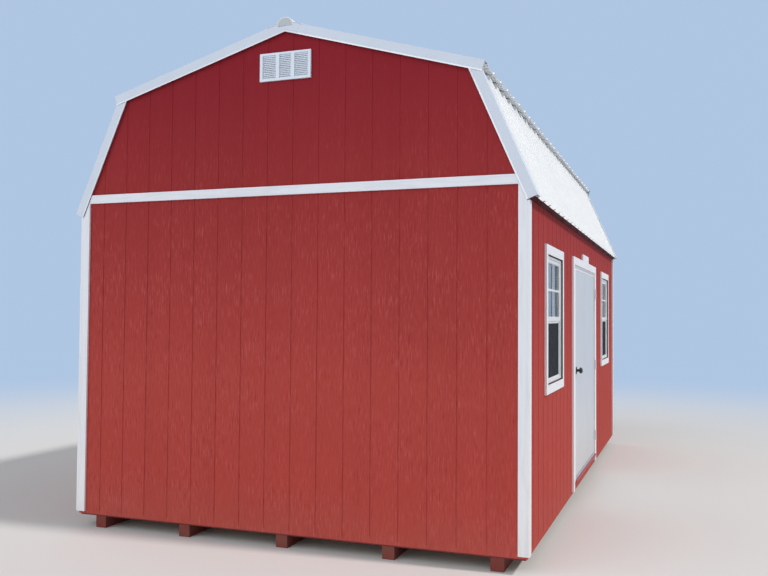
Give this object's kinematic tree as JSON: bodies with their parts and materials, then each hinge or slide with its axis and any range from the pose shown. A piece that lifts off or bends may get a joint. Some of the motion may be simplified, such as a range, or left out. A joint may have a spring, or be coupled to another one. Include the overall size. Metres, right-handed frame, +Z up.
{
  "type": "gambrel-roof barn building on skids",
  "caption": "Portable gambrel barn with grooved red panel siding, white trim, ribbed metal roof, side door and windows.",
  "frame": {"origin": "middle of the footprint at ground level, at the underside of the skids", "axes": "+Z up, +Y along the length from the plain gable end in front to the back gable end, +X towards the side with the door"},
  "size_m": [3.639, 6.148, 3.8018],
  "materials": {
    "siding": "painted, satin, embossed grain",
    "painted_lumber": "painted",
    "lumber": "bare",
    "deck_board": "bare",
    "roof_metal": "satin",
    "rake_metal": "satin",
    "white_trim": "painted, embossed grain",
    "white_vinyl": "satin",
    "window_glass": "clear",
    "door_paint": "satin",
    "threshold_metal": "satin",
    "hinge_metal": "satin",
    "black_metal": "satin"
  },
  "bodies": {
    "building": {"front_siding": "siding", "front_gable_siding": "siding", "back_siding": "siding", "back_gable_siding": "siding", "left_siding": "siding", "right_siding_front": "siding", "right_siding_door_bay": "siding", "right_siding_back": "siding", "skids": "painted_lumber", "left_eave_board": "painted_lumber", "right_eave_board": "painted_lumber", "floor_joists": "lumber", "front_wall_frame": "lumber", "back_wall_frame": "lumber", "left_wall_frame": "lumber", "right_wall_frame": "lumber", "left_rafters": "lumber", "right_rafters": "lumber", "floor_deck": "deck_board", "left_roof_deck": "deck_board", "right_roof_deck": "deck_board", "left_lower_roof": "roof_metal", "left_upper_roof": "roof_metal", "right_upper_roof": "roof_metal", "right_lower_roof": "roof_metal", "ridge_cap": "roof_metal", "front_rake_trim": "rake_metal", "back_rake_trim": "rake_metal", "front_left_corner_trim": "white_trim", "front_right_corner_trim": "white_trim", "back_left_corner_trim": "white_trim", "back_right_corner_trim": "white_trim", "front_band": "white_trim", "back_band": "white_trim", "window_trims": "white_trim", "door_trim": "white_trim", "door_frame": "white_trim", "front_vent": "white_vinyl", "back_vent": "white_vinyl", "front_window": "white_vinyl", "rear_window": "white_vinyl", "front_window_glass": "window_glass", "rear_window_glass": "window_glass", "door_threshold": "threshold_metal", "frame_hinges": "hinge_metal"},
    "door": {"door_leaf": "door_paint", "door_hinges": "hinge_metal", "knob_roses": "black_metal"},
    "knob": {"door_knob": "black_metal"}
  },
  "joints": [
    {"name": "door_swing", "type": "hinge", "parent": "building", "child": "door", "pos_m": [1.7775, 0.7905, 1.15], "axis": [0, 0, 1], "range_deg": [0, 165]},
    {"name": "knob_turn", "type": "hinge", "parent": "door", "child": "knob", "pos_m": [1.7535, -0.693, 1.17], "axis": [1, 0, 0], "range_deg": [-45, 45], "stiffness_Nm_per_rad": 0.3}
  ]
}
